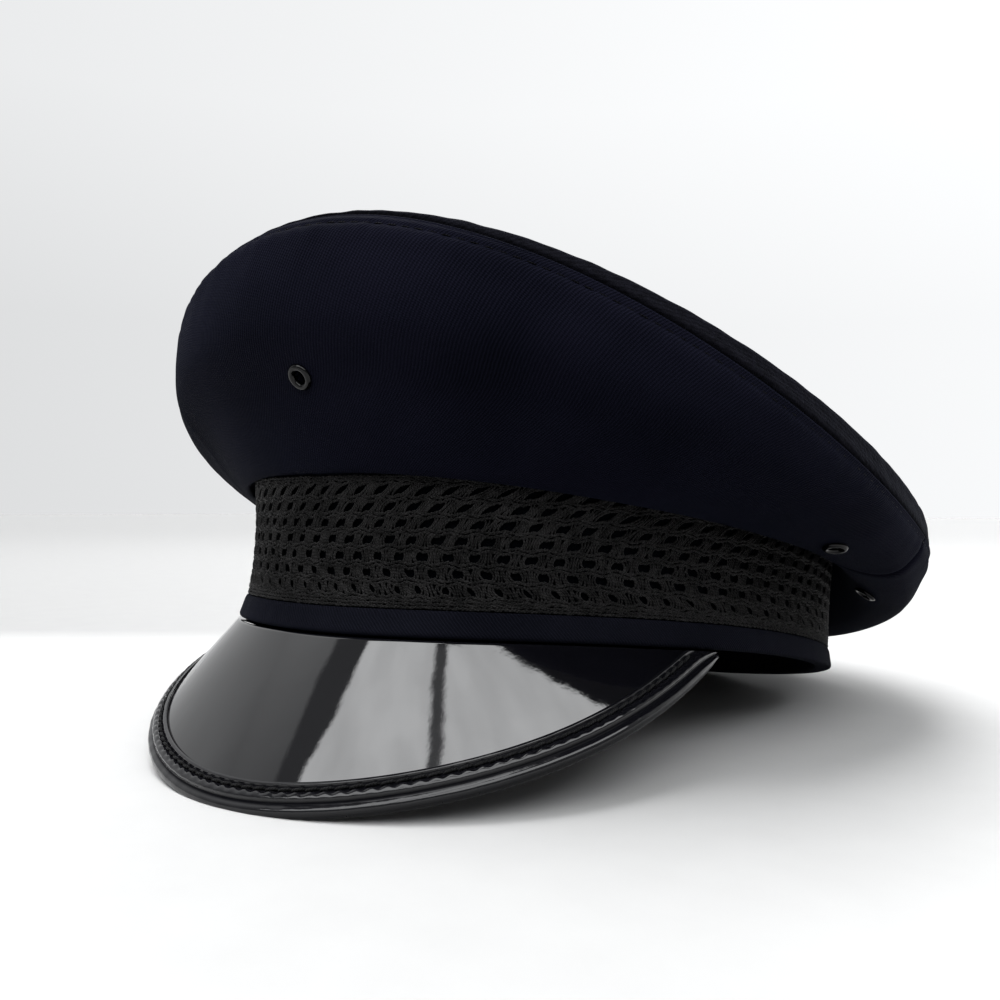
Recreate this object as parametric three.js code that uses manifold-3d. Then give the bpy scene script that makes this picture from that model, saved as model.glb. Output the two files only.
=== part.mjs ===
// A peaked uniform cap: a flared cloth crown on an upright band covered with woven braid, and a glossy
// visor. Millimetres, +Z up, the visor towards -Y, the wearer's left towards +X.
// Each piece is shaped in the cap's own frame, where z = 0 is the level of the rim and angles run from the
// front (0) to the wearer's left (90 degrees). The whole cap is then tipped onto its rest, the visor's edge
// and the back of the hem, with its footprint centred on the origin.
import * as THREE from 'three';
import { mergeVertices } from 'three/addons/utils/BufferGeometryUtils.js';
import Module from 'manifold-3d';

const wasm = await Module();
wasm.setup();

const radians = THREE.MathUtils.degToRad;

// Clearance between pieces that touch, the distance within which corners are one, and the number of sections
// round the head
const GAP = 0.3;
const SAME = 1e-4;
const AROUND = 48;

// The band's outer face: an oval, wider behind, whose rim dips at the front and the back
const BAND = {
  halfLength: 102.5,
  halfWidth: 85.1,
  squareness: 2.22,
  widening: 0.17,
  height: 38.7,
  dip: 3.3,
};

// How far that face stands off the oval at half height and at the top
const WAIST = { front: -0.95, side: -0.9, back: -0.2 };
const MOUTH = { front: 2.75, side: 0.25, back: -0.45 };

// Levels of the band, above the rim
const WALL_FOOT = 1.6;
const BRAID_FOOT = 6.8;
const BAND_TOP = BAND.height - GAP;

// The stiff wall behind the braid, and the spans that its height is divided into
const WALL = { thickness: 1.6, inset: 1.7, spans: 3 };

// The braid's open rows, counted down from the top one, lie in furrows between thread bundles
const BRAID = { thickness: 1.4, rows: 7, topRow: 34.9, pitch: 3.95, furrow: 0.5, selvedge: 0.3 };

// The hem strip, a channel folded round the wall's foot: outset from the band's face and height above the rim
const HEM = { flare: 0.8, inside: -4.9, press: 0.5 };
const HEM_SECTION = [
  { outset: 0.1, height: 6.5 },
  { outset: 0.6, height: 2.4 },
  { outset: HEM.flare, height: 0.8 },
  { outset: 0.0, height: 0.0 },
  { outset: -4.2, height: 0.0 },
  { outset: HEM.inside, height: 0.8 },
  { outset: HEM.inside, height: 8.0 },
  { outset: -3.6, height: 8.0 },
  { outset: -3.6, height: 1.3 },
  { outset: -1.4, height: 1.3 },
  { outset: -1.3, height: 6.5 },
];

// The crown's lines above the band seam: where it hangs, where it is fullest, under its rim, and the ridge.
// Each is an oval round a centre behind the band's. Its wide and long are half its width and length, and its
// height is height + rise * cos(angle) + lift * cos(2 * angle).
const CROWN_LINES = [
  { wide: 103.2, long: 120.3, centre: 5.7, height: 32.8, rise: 20.1, lift: 1.4, taper: 0.019 },
  { wide: 111.5, long: 129.1, centre: 2.8, height: 37.3, rise: 27.6, lift: 3.6, taper: 0.03 },
  { wide: 116.1, long: 132.8, centre: 5.3, height: 55.7, rise: 18.5, lift: 14.4, taper: 0.048 },
  { wide: 115.1, long: 130, centre: 8.6, height: 63.4, rise: 20, lift: 12.5, taper: 0.026 },
];
const CROWN = { squareness: 2.1, cloth: 1.6, frontSteps: 26, backSteps: 22 };
const SIDE_SEAM = { angle: radians(96), halfGap: radians(0.1) };

// Where the side cloth is tucked in, turns out over the band, and sags below the band's top
const TUCK_OUTSET = -3;
const SEAM = { outset: 0.3, rise: 0.25 };
const OVERHANG = {
  outset: { front: 1.2, side: 3, back: 5 },
  sag: { front: 0, side: 7.2, back: 5 },
};

// Steps of cloth from the tuck to the seam, to the overhang, and on to each line above, the last to the fold
const CROWN_STEPS = [1, 2, 2, 3, 3, 2];

// The side cloth ends in a folded edge this far below the ridge: front + side * |sin(angle)| ** power
const RIM_DEPTH = { front: 1.3, side: 6.3, power: 1.5 };

// Sections at that edge: inward from the crown's face, and how far above the edge. The rim of the top panel
// comes out from behind the fold and carries the face on to the ridge. Where the rim is lower than full, its
// rises shrink with it.
const FOLD = [
  { inward: 0.1, rise: -0.7 },
  { inward: 0.8, rise: 0 },
  { inward: 1.5, rise: -0.7 },
];
const RIM = [
  { inward: 1.9, rise: -2.2 },
  { inward: 1.9, rise: 0.3 },
  { inward: 0.2, rise: 1.3 },
];
const FULL_RIM = 2;

// The top panel: its crest just inside the ridge, and its rings from there to its middle
const TOP = { dome: 6, cloth: 1.5, crestInward: 1.8, crestUp: 0.7 };
const TOP_RINGS = [0.78, 0.4, 0];

// The visor between the hem and its edge. across runs from -1 to 1 between its two corners.
const VISOR = {
  halfAngle: radians(74.1),
  reach: 123.8,
  drop: 44.1,
  roundness: 1.63,
  dropCurve: 1.07,
  pinch: 0.184,
  dome: 0.4,
  thickness: 1.6,
  end: 0.93,
  steps: 24,
};

// The part of the visor under the hem and up inside the band
const VISOR_ROOT = [
  { outset: -5.2, height: 7.0 },
  { outset: -5.2, height: 1.2 },
  { outset: -4.6, height: -0.4 },
  { outset: -3.0, height: -0.8 },
];
const VISOR_LEAVES = { outset: 0.7, height: -0.6 };
const VISOR_SHARES = [0, 0.15, 0.35, 0.6, 0.8, 1];

// The binding's section: inward from the visor's outer edge and up from its surface, with the ledge, the
// stitched channel, the raised bead, the crease and the rolled lower edge
const BINDING = { steps: 32, end: 0.985, lap: 2.6 };
const BINDING_SECTION = [
  { inward: 7.7, up: -0.8 },
  { inward: 7.7, up: 1.0 },
  { inward: 7.1, up: 1.2 },
  { inward: 6.6, up: 0.9 },
  { inward: 5.6, up: 0.9 },
  { inward: 4.8, up: 1.7 },
  { inward: 3.7, up: 1.8 },
  { inward: 2.9, up: 1.0 },
  { inward: 1.4, up: 1.2 },
  { inward: 0.3, up: 0.3 },
  { inward: 0.1, up: -1.3 },
  { inward: 1.2, up: -2.5 },
  { inward: 5.0, up: -2.8 },
  { inward: 5.0, up: -0.8 },
];

// Room kept for the band above and inside the visor's binding, as outsets and heights
const BAND_ROOM = [
  { outset: -50, height: -60 },
  { outset: 0, height: -60 },
  { outset: 0, height: -0.35 },
  { outset: 30, height: -0.35 },
  { outset: 30, height: 40 },
  { outset: -50, height: 40 },
];

// Eyelets: a collar through the cloth between two flanges, the outer one with a flat face. The hole for the
// collar is cut as deep as cutter.
const EYELET = { hole: 1.65, collar: 2.3, lift: 0.5, sides: 10, cutter: 12 };
const EYELET_SECTION = [
  { radius: EYELET.hole, up: 0.9 },
  { radius: 2.0, up: 1.3 },
  { radius: 3.1, up: 1.3 },
  { radius: 3.5, up: 0.9 },
  { radius: 3.5, up: EYELET.lift },
  { radius: EYELET.collar, up: EYELET.lift },
  { radius: EYELET.collar, up: -CROWN.cloth - EYELET.lift },
  { radius: 3.3, up: -CROWN.cloth - EYELET.lift },
  { radius: 3.3, up: -CROWN.cloth - 1.1 },
  { radius: EYELET.hole, up: -CROWN.cloth - 1.1 },
];

// Places of the eyelets: angle round the head and way up the side cloth, from 0 at the tuck to 1 at the ridge
const BADGE_EYELET = { name: 'badge_eyelet', angle: 0, way: 0.53 };
const VENT_EYELETS = [
  { name: 'vent_eyelet_left_front', angle: radians(82.5), way: 0.47 },
  { name: 'vent_eyelet_left_back', angle: radians(110), way: 0.45 },
  { name: 'vent_eyelet_right_front', angle: radians(-82.5), way: 0.47 },
  { name: 'vent_eyelet_right_back', angle: radians(-110), way: 0.45 },
];

// The steepest tilt that the cap could come to rest at, and the halvings that find the real one
const REST = { steepest: radians(30), halvings: 40 };

const FINISH = {
  sideCloth: { color: 0x10131f, roughness: 0.9, metalness: 0 },
  topCloth: { color: 0x0b0c10, roughness: 0.95, metalness: 0 },
  braid: { color: 0x0a0a0b, roughness: 0.7, metalness: 0 },
  lining: { color: 0x0c0d12, roughness: 0.9, metalness: 0 },
  patent: { color: 0x050506, roughness: 0.08, metalness: 0 },
  enamel: { color: 0x08080a, roughness: 0.3, metalness: 0.4 },
};

// Ovals and points of the band

function ovalRadius(angle, squareness) {
  const side = Math.abs(Math.sin(angle)) ** squareness;
  const front = Math.abs(Math.cos(angle)) ** squareness;
  return (side + front) ** (-1 / squareness);
}

function blend(values, angle) {
  const forward = Math.cos(angle);
  const end = forward > 0 ? values.front : values.back;
  return end * forward ** 2 + values.side * (1 - forward ** 2);
}

function bandPoint(angle, height, outset = 0) {
  const radius = ovalRadius(angle, BAND.squareness);
  const forward = radius * Math.cos(angle);
  const x = BAND.halfWidth * radius * Math.sin(angle) * (1 - BAND.widening * forward);
  const y = -BAND.halfLength * forward;
  const share = height / BAND.height;
  const waist = blend(WAIST, angle) * 4 * share * (1 - share);
  const mouth = blend(MOUTH, angle) * share * (2 * share - 1);
  const scale = 1 + (waist + mouth + outset) / Math.hypot(x, y);
  return new THREE.Vector3(x * scale, y * scale, height - BAND.dip * Math.cos(2 * angle));
}

function angles(count, from = 0, to = 2 * Math.PI) {
  return Array.from({ length: count }, (_, i) => from + ((to - from) * i) / count);
}

// Closed bodies from section loops

function capTriangles(loop) {
  const normal = new THREE.Vector3();
  loop.forEach((point, i) => normal.add(point.clone().cross(loop[(i + 1) % loop.length])));
  normal.normalize();
  const right = loop[1].clone().sub(loop[0]).projectOnPlane(normal).normalize();
  const up = normal.clone().cross(right);
  const flat = loop.map((point) => new THREE.Vector2(point.dot(right), point.dot(up)));
  return THREE.ShapeUtils.triangulateShape(flat, []).map(([a, b, c]) => {
    const turn = flat[b].clone().sub(flat[a]).cross(flat[c].clone().sub(flat[a]));
    return turn > 0 ? [a, b, c] : [a, c, b];
  });
}

function signedVolume(positions, index) {
  let volume = 0;
  const corners = [new THREE.Vector3(), new THREE.Vector3(), new THREE.Vector3()];
  for (let i = 0; i < index.length; i += 3) {
    corners.forEach((corner, k) => corner.fromArray(positions, 3 * index[i + k]));
    volume += corners[0].dot(corners[1].cross(corners[2])) / 6;
  }
  return volume;
}

function closedGeometry(positions, index) {
  const geometry = new THREE.BufferGeometry();
  geometry.setAttribute('position', new THREE.Float32BufferAttribute(positions, 3));
  geometry.setIndex(index);
  const merged = mergeVertices(geometry, SAME);
  const kept = [];
  for (let i = 0; i < index.length; i += 3) {
    const [a, b, c] = [0, 1, 2].map((k) => merged.index.getX(i + k));
    if (a !== b && b !== c && c !== a) {
      kept.push(a, b, c);
    }
  }
  if (signedVolume(merged.attributes.position.array, kept) < 0) {
    kept.reverse();
  }
  merged.setIndex(kept);
  return merged;
}

// Joins section loops of equal length, round and back to the first one or with a cap at each end
function loft(sections, ring) {
  const count = sections[0].length;
  const positions = sections.flat().flatMap((point) => point.toArray());
  const spans = ring ? sections.length : sections.length - 1;
  const index = [];
  for (let i = 0; i < spans; i++) {
    const near = i * count;
    const far = ((i + 1) % sections.length) * count;
    for (let j = 0; j < count; j++) {
      const k = (j + 1) % count;
      index.push(near + j, far + j, far + k, near + j, far + k, near + k);
    }
  }
  if (!ring) {
    const last = (sections.length - 1) * count;
    for (const [a, b, c] of capTriangles(sections[0])) {
      index.push(a, b, c);
    }
    for (const [a, b, c] of capTriangles(sections.at(-1))) {
      index.push(last + a, last + c, last + b);
    }
  }
  return closedGeometry(positions, index);
}

function bandRing(section) {
  const sections = angles(AROUND).map((angle) =>
    section.map(({ outset, height }) => bandPoint(angle, height, outset)),
  );
  return loft(sections, true);
}

// Cutting

function solidOf(geometry) {
  return new wasm.Manifold(
    new wasm.Mesh({
      numProp: 3,
      vertProperties: new Float32Array(geometry.attributes.position.array),
      triVerts: new Uint32Array(geometry.index.array),
    }),
  );
}

function geometryOf(solid) {
  const { vertProperties, triVerts } = solid.getMesh();
  return closedGeometry(Array.from(vertProperties), Array.from(triVerts));
}

function welded(geometry) {
  geometry.deleteAttribute('normal');
  geometry.deleteAttribute('uv');
  return closedGeometry(Array.from(geometry.attributes.position.array), Array.from(geometry.index.array));
}

// Crown

function linePoint(line, angle) {
  const radius = ovalRadius(angle, CROWN.squareness);
  const forward = radius * Math.cos(angle);
  return new THREE.Vector3(
    line.wide * radius * Math.sin(angle) * (1 - line.taper * forward),
    line.centre - line.long * forward,
    line.height + line.rise * Math.cos(angle) + line.lift * Math.cos(2 * angle),
  );
}

// The side cloth's outer face at one angle, from the tuck to the ridge
function crownCurve(angle) {
  const tuck = bandPoint(angle, BAND.height, TUCK_OUTSET);
  const seam = bandPoint(angle, BAND.height + SEAM.rise, SEAM.outset);
  const sag = BAND.height - blend(OVERHANG.sag, angle);
  const overhang = bandPoint(angle, sag, blend(OVERHANG.outset, angle));
  const lines = CROWN_LINES.map((line) => linePoint(line, angle));
  return new THREE.CatmullRomCurve3([tuck, seam, overhang, ...lines], false, 'centripetal');
}

function crownNormal(angle, way) {
  const nudge = 0.01;
  const round = crownCurve(angle + nudge).getPoint(way).sub(crownCurve(angle - nudge).getPoint(way));
  return round.cross(crownCurve(angle).getTangent(way)).normalize();
}

function ridgeInward(angle) {
  return crownNormal(angle, 1).setZ(0).normalize().negate();
}

function rimDepth(angle) {
  return RIM_DEPTH.front + RIM_DEPTH.side * Math.abs(Math.sin(angle)) ** RIM_DEPTH.power;
}

// How far up the face a point lies that is this far below the ridge
function wayBelowRidge(angle, below) {
  const [under, ridge] = CROWN_LINES.slice(-2).map((line) => linePoint(line, angle));
  return 1 - below / (CROWN_STEPS.length * under.distanceTo(ridge));
}

function facePoint(angle, way, inward) {
  return crownCurve(angle).getPoint(way).addScaledVector(crownNormal(angle, way), -inward);
}

// Ways up the face at the start of every step, the last ones just under the fold
function crownWays(angle) {
  const starts = CROWN_STEPS.map((_, span) => span / CROWN_STEPS.length);
  const ends = [...starts.slice(1), wayBelowRidge(angle, rimDepth(angle))];
  return CROWN_STEPS.flatMap((steps, span) =>
    Array.from({ length: steps }, (_, i) => starts[span] + ((ends[span] - starts[span]) * i) / steps),
  );
}

function crownSection(angle) {
  const ways = crownWays(angle);
  const depth = rimDepth(angle);
  const outer = ways.map((way) => facePoint(angle, way, 0));
  const inner = ways.map((way) => facePoint(angle, way, CROWN.cloth));
  const fold = FOLD.map(({ inward, rise }) => facePoint(angle, wayBelowRidge(angle, depth - rise), inward));
  return [...outer, ...fold, ...inner.reverse()];
}

function crownPart(from, to, steps) {
  const stops = [...angles(steps, from, to), to];
  return loft(stops.map(crownSection), false);
}

function eyeletPlace({ angle, way }) {
  return { point: crownCurve(angle).getPoint(way), normal: crownNormal(angle, way) };
}

function eyeletHole(place) {
  const { point, normal } = eyeletPlace(place);
  const radius = EYELET.collar + GAP;
  const cutter = welded(new THREE.CylinderGeometry(radius, radius, EYELET.cutter, EYELET.sides));
  cutter.applyQuaternion(new THREE.Quaternion().setFromUnitVectors(THREE.Object3D.DEFAULT_UP, normal));
  cutter.translate(...point.toArray());
  return solidOf(cutter);
}

function crownSide(from, to, steps, eyelets) {
  const cloth = solidOf(crownPart(from, to, steps));
  return geometryOf(eyelets.reduce((solid, place) => solid.subtract(eyeletHole(place)), cloth));
}

function crownFront() {
  const end = SIDE_SEAM.angle - SIDE_SEAM.halfGap;
  const eyelets = [BADGE_EYELET, ...VENT_EYELETS].filter(({ angle }) => Math.abs(angle) < end);
  return crownSide(-end, end, CROWN.frontSteps, eyelets);
}

function crownBack() {
  const start = SIDE_SEAM.angle + SIDE_SEAM.halfGap;
  const eyelets = VENT_EYELETS.filter(({ angle }) => Math.abs(angle) > start);
  return crownSide(start, 2 * Math.PI - start, CROWN.backSteps, eyelets);
}

// The top panel over the ridge's oval, at a share of the way out from its middle
function topPoint(angle, share, lower) {
  const ridge = CROWN_LINES.at(-1);
  const border = linePoint(ridge, angle);
  const slope = ridge.rise * share * Math.cos(angle) + ridge.lift * share ** 2 * Math.cos(2 * angle);
  const y = ridge.centre + (border.y - ridge.centre) * share;
  const z = ridge.height + slope + TOP.dome * (1 - share ** 2) + TOP.crestUp;
  return new THREE.Vector3(border.x * share, y, z - lower);
}

function topSection(angle) {
  const depth = rimDepth(angle);
  const fullness = Math.min(depth / FULL_RIM, 1);
  const face = (inward, rise) => facePoint(angle, wayBelowRidge(angle, depth - rise), inward);
  const rim = RIM.map(({ inward, rise }) => face(inward, rise > 0 ? rise * fullness : rise));
  const waist = face(0, (depth + fullness) / 2);
  const ridge = face(0, depth);
  const overRidge = (inward, up) =>
    ridge.clone().addScaledVector(ridgeInward(angle), inward).setZ(ridge.z + up);
  const crest = overRidge(TOP.crestInward, TOP.crestUp);
  const slack = (RIM[0].inward * FULL_RIM) / Math.max(depth, FULL_RIM);
  const under = overRidge(TOP.cloth + slack, TOP.crestUp - TOP.cloth);
  const tail = face(RIM[0].inward + TOP.cloth, RIM[0].rise);
  const upper = TOP_RINGS.map((share) => topPoint(angle, share, 0));
  const lower = TOP_RINGS.map((share) => topPoint(angle, share, TOP.cloth)).reverse();
  return [...rim, waist, ridge, crest, ...upper, ...lower, under, tail];
}

function crownTop() {
  return loft(angles(AROUND).map(topSection), true);
}

// Band

function wallLevels(from) {
  return Array.from({ length: WALL.spans + 1 }, (_, i) => from + ((BAND_TOP - from) * i) / WALL.spans);
}

function bandWall() {
  const outer = [WALL_FOOT, ...wallLevels(BRAID_FOOT)].map((height) => ({ outset: -WALL.inset, height }));
  const inset = -WALL.inset - WALL.thickness;
  const inner = wallLevels(WALL_FOOT).map((height) => ({ outset: inset, height }));
  return bandRing([...outer, ...inner.reverse()]);
}

function bandBraid() {
  const face = [{ outset: -BRAID.selvedge, height: BAND_TOP }];
  for (let row = 0; row < BRAID.rows; row++) {
    const height = BRAID.topRow - BRAID.pitch * row;
    face.push({ outset: 0, height: height + BRAID.pitch / 2 });
    face.push({ outset: -BRAID.furrow, height });
  }
  face.push({ outset: 0, height: BRAID.topRow - BRAID.pitch * (BRAID.rows - 0.5) });
  face.push({ outset: -BRAID.selvedge, height: BRAID_FOOT });
  const back = wallLevels(BRAID_FOOT).map((height) => ({ outset: -BRAID.thickness, height }));
  return bandRing([...face, ...back]);
}

function bandHem() {
  return bandRing(HEM_SECTION);
}

// Visor

function visorEdge(across) {
  const corner = bandPoint(VISOR.halfAngle, 0);
  const open = Math.max(1 - across ** 2, 0);
  const depth = open ** (2 * VISOR.roundness);
  const x = Math.sign(across) * corner.x * Math.sqrt(1 - depth) * (1 - VISOR.pinch * depth);
  const y = corner.y - (corner.y + VISOR.reach) * open;
  const z = corner.z - (corner.z + VISOR.drop) * open ** VISOR.dropCurve;
  return new THREE.Vector3(x, y, z);
}

function visorLeaves(across) {
  return bandPoint(VISOR.halfAngle * across, VISOR_LEAVES.height, VISOR_LEAVES.outset);
}

function visorOutward(across) {
  return visorEdge(across).sub(visorLeaves(across));
}

// The visor's frame at its edge: up from the surface, and inward over it. Past the plate's ends the surface
// keeps the direction that it has there.
function edgeFrame(across) {
  const nudge = 0.0005;
  const along = visorEdge(across + nudge).sub(visorEdge(across - nudge)).normalize();
  const up = visorOutward(THREE.MathUtils.clamp(across, -VISOR.end, VISOR.end)).cross(along).normalize();
  return { up, inward: up.clone().cross(along).normalize() };
}

function visorPoint(across, share) {
  const bulge = 4 * VISOR.dome * share * (1 - share);
  const flat = visorLeaves(across).addScaledVector(visorOutward(across), share);
  return flat.addScaledVector(edgeFrame(across).up, bulge);
}

function gridNormals(grid) {
  const clamp = (i, list) => Math.min(Math.max(i, 0), list.length - 1);
  return grid.map((row, i) =>
    row.map((_, j) => {
      const round = grid[clamp(i + 1, grid)][j].clone().sub(grid[clamp(i - 1, grid)][j]);
      const down = row[clamp(j + 1, row)].clone().sub(row[clamp(j - 1, row)]);
      return down.cross(round).normalize();
    }),
  );
}

// The visor's plate, with some clearance added all round
function visorPlate(clearance) {
  const end = VISOR.end + clearance / BAND.halfLength;
  const grid = Array.from({ length: VISOR.steps + 1 }, (_, i) => {
    const across = end * ((2 * i) / VISOR.steps - 1);
    const last = 1 - (BINDING.lap - clearance) / visorOutward(across).length();
    const root = VISOR_ROOT.map(({ outset, height }) => bandPoint(VISOR.halfAngle * across, height, outset));
    return [...root, ...VISOR_SHARES.map((share) => visorPoint(across, share * last))];
  });
  const normals = gridNormals(grid);
  const offset = (i, distance) =>
    grid[i].map((point, j) => point.clone().addScaledVector(normals[i][j], distance));
  const sections = grid.map((_, i) => [
    ...offset(i, clearance),
    ...offset(i, -VISOR.thickness - clearance).reverse(),
  ]);
  return loft(sections, false);
}

function visorBinding() {
  const sections = Array.from({ length: BINDING.steps + 1 }, (_, i) => {
    const across = BINDING.end * ((2 * i) / BINDING.steps - 1);
    const { up, inward } = edgeFrame(across);
    return BINDING_SECTION.map((row) =>
      visorEdge(across).addScaledVector(inward, row.inward).addScaledVector(up, row.up),
    );
  });
  const strip = solidOf(loft(sections, false));
  const pieces = strip.subtract(solidOf(visorPlate(GAP))).subtract(solidOf(bandRing(BAND_ROOM))).decompose();
  return geometryOf(pieces.sort((a, b) => b.volume() - a.volume())[0]);
}

// Eyelets

function eyelet() {
  const loop = [...EYELET_SECTION, EYELET_SECTION[0]];
  const profile = loop.map(({ radius, up }) => new THREE.Vector2(radius, up));
  return welded(new THREE.LatheGeometry(profile, EYELET.sides));
}

// Assembly

function piece(name, geometry, finish) {
  geometry.computeVertexNormals();
  const mesh = new THREE.Mesh(geometry, new THREE.MeshStandardMaterial(finish));
  mesh.name = name;
  return mesh;
}

function eyeletPiece(place) {
  const mesh = piece(place.name, eyelet(), FINISH.enamel);
  const { point, normal } = eyeletPlace(place);
  mesh.position.copy(point);
  mesh.quaternion.setFromUnitVectors(THREE.Object3D.DEFAULT_UP, normal);
  return mesh;
}

function lowest(geometry, normal) {
  const point = new THREE.Vector3();
  let low = Infinity;
  for (let i = 0; i < geometry.attributes.position.count; i++) {
    point.fromBufferAttribute(geometry.attributes.position, i);
    low = Math.min(low, point.dot(normal));
  }
  return low;
}

// The floor under the cap: level with the visor's binding, and a little into the cloth at the back of the hem
function restFloor(binding, hem) {
  let [small, large] = [0, REST.steepest];
  const normal = new THREE.Vector3();
  for (let i = 0; i < REST.halvings; i++) {
    const tilt = (small + large) / 2;
    normal.set(0, -Math.sin(tilt), Math.cos(tilt));
    if (lowest(binding, normal) < lowest(hem, normal) + HEM.press) {
      small = tilt;
    } else {
      large = tilt;
    }
  }
  return new THREE.Plane(normal, -lowest(binding, normal));
}

function flatten(geometry, floor) {
  const point = new THREE.Vector3();
  const { position } = geometry.attributes;
  for (let i = 0; i < position.count; i++) {
    point.fromBufferAttribute(position, i);
    const depth = floor.distanceToPoint(point);
    if (depth < 0) {
      point.addScaledVector(floor.normal, -depth);
      position.setXYZ(i, ...point.toArray());
    }
  }
}

const binding = visorBinding();
const hem = bandHem();
const floor = restFloor(binding, hem);
flatten(hem, floor);

const cap = new THREE.Group();
cap.add(
  piece('crown_top', crownTop(), FINISH.topCloth),
  piece('crown_front', crownFront(), FINISH.sideCloth),
  piece('crown_back', crownBack(), FINISH.sideCloth),
  piece('band_wall', bandWall(), FINISH.lining),
  piece('band_braid', bandBraid(), FINISH.braid),
  piece('band_hem', hem, FINISH.sideCloth),
  piece('visor', visorPlate(0), FINISH.patent),
  piece('visor_binding', binding, FINISH.patent),
  eyeletPiece(BADGE_EYELET),
  ...VENT_EYELETS.map(eyeletPiece),
);
cap.quaternion.setFromUnitVectors(floor.normal, new THREE.Vector3(0, 0, 1));

const object = new THREE.Group();
object.add(cap);
object.updateMatrixWorld(true);
const box = new THREE.Box3().setFromObject(object, true);
const middle = box.getCenter(new THREE.Vector3());
cap.position.set(-middle.x, -middle.y, -box.min.z);

export default object;
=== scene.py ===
"""A peaked uniform cap: smooth cloth, braid threads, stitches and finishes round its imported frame.

Shapes are worked out in the cap's own frame, in millimetres: z = 0 is the level of the rim, -Y the front,
+X the wearer's left, and angles run from the front towards the wearer's left. to_row tips them onto the
cap's rest and turns them into metres.
"""

import math
from collections import namedtuple
from types import SimpleNamespace as Sizes

import bmesh
import bpy
import numpy as np
from mathutils import Matrix, Vector


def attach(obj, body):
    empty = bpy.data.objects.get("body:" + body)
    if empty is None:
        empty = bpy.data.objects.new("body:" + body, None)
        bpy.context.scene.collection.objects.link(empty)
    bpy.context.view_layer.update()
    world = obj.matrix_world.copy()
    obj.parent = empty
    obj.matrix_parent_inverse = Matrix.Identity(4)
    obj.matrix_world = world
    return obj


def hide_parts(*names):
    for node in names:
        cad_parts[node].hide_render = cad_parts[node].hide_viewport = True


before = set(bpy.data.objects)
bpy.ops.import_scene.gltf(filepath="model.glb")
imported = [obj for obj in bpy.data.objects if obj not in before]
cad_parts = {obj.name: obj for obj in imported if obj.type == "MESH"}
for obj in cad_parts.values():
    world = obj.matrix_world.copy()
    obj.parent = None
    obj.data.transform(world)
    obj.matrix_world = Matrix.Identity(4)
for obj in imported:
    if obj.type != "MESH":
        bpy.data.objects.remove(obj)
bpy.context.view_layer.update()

rng = np.random.default_rng(7)
TAU = 2 * math.pi
METRE = 1000
NUDGE = 0.01

# The cap's rest on the floor: tipped about X, then moved
TILT = math.radians(10.154786)
TIP_COS, TIP_SIN = math.cos(TILT), math.sin(TILT)
SHIFT = (0.0, -8.26911, 20.81988)

# Sizes shared with the solids. A section's pairs are outset and height, or depth inward and rise
BAND = Sizes(half_length=102.5, half_width=85.1, squareness=2.22, widening=0.17, height=38.7, dip=3.3)
WAIST = Sizes(front=-0.95, side=-0.9, back=-0.2)
MOUTH = Sizes(front=2.75, side=0.25, back=-0.45)
WALL = Sizes(foot=1.6, top=38.4, thickness=1.6, inset=1.7)
HEM_SECTION = [
    (0.1, 6.5), (0.6, 2.4), (0.8, 0.8), (0.0, 0.0), (-4.2, 0.0), (-4.9, 0.8),
    (-4.9, 8.0), (-3.6, 8.0), (-3.6, 1.3), (-1.4, 1.3), (-1.3, 6.5),
]
Line = namedtuple("Line", "half_width half_length centre height rise lift taper")
CROWN_LINES = [
    Line(103.2, 120.3, 5.7, 32.8, 20.1, 1.4, 0.019), Line(111.5, 129.1, 2.8, 37.3, 27.6, 3.6, 0.03),
    Line(116.1, 132.8, 5.3, 55.7, 18.5, 14.4, 0.048), Line(115.1, 130.0, 8.6, 63.4, 20.0, 12.5, 0.026),
]
CROWN = Sizes(squareness=2.1, cloth=1.6, seam_angle=math.radians(96))
TUCK = -3.0
SEAM = Sizes(outset=0.3, rise=0.25)
OVERHANG_OUTSET = Sizes(front=1.2, side=3.0, back=5.0)
OVERHANG_SAG = Sizes(front=0.0, side=7.2, back=5.0)
RIM_DEPTH = Sizes(front=1.3, side=6.3, power=1.5)
FULL_RIM = 2.0
FOLD = [(-0.1, -1.1), (0.1, -0.45), (0.75, 0.0), (1.4, -0.45), (1.6, -1.2)]
RIM = [(1.95, -2.2), (1.95, -0.6), (1.75, 0.55), (0.35, 1.25)]
TOP = Sizes(dome=6.0, cloth=1.5, crest_in=1.8, crest_up=0.7)
VISOR = Sizes(
    half_angle=math.radians(74.1), reach=123.8, drop=44.1, roundness=1.63, drop_curve=1.07,
    pinch=0.184, dome=0.4, thickness=1.6, end=0.93,
)
VISOR_ROOT = [(-5.2, 7.0), (-5.2, 1.2), (-4.6, -0.4), (-3.0, -0.8)]
VISOR_LEAVES = (0.7, -0.6)
LAP = 2.6


# Ovals and points of the band


def oval_radius(angle, squareness):
    return (np.abs(np.sin(angle)) ** squareness + np.abs(np.cos(angle)) ** squareness) ** (-1 / squareness)


def blended(values, angle):
    forward = np.cos(angle)
    end = np.where(forward > 0, values.front, values.back)
    return end * forward**2 + values.side * (1 - forward**2)


def band_point(angle, height, outset=0.0):
    angle, height, outset = np.broadcast_arrays(*(np.asarray(v, float) for v in (angle, height, outset)))
    radius = oval_radius(angle, BAND.squareness)
    forward = radius * np.cos(angle)
    x = BAND.half_width * radius * np.sin(angle) * (1 - BAND.widening * forward)
    y = -BAND.half_length * forward
    share = height / BAND.height
    waist = blended(WAIST, angle) * 4 * share * (1 - share)
    mouth = blended(MOUTH, angle) * share * (2 * share - 1)
    scale = 1 + (waist + mouth + outset) / np.hypot(x, y)
    return np.stack([x * scale, y * scale, height - BAND.dip * np.cos(2 * angle)], -1)


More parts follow.
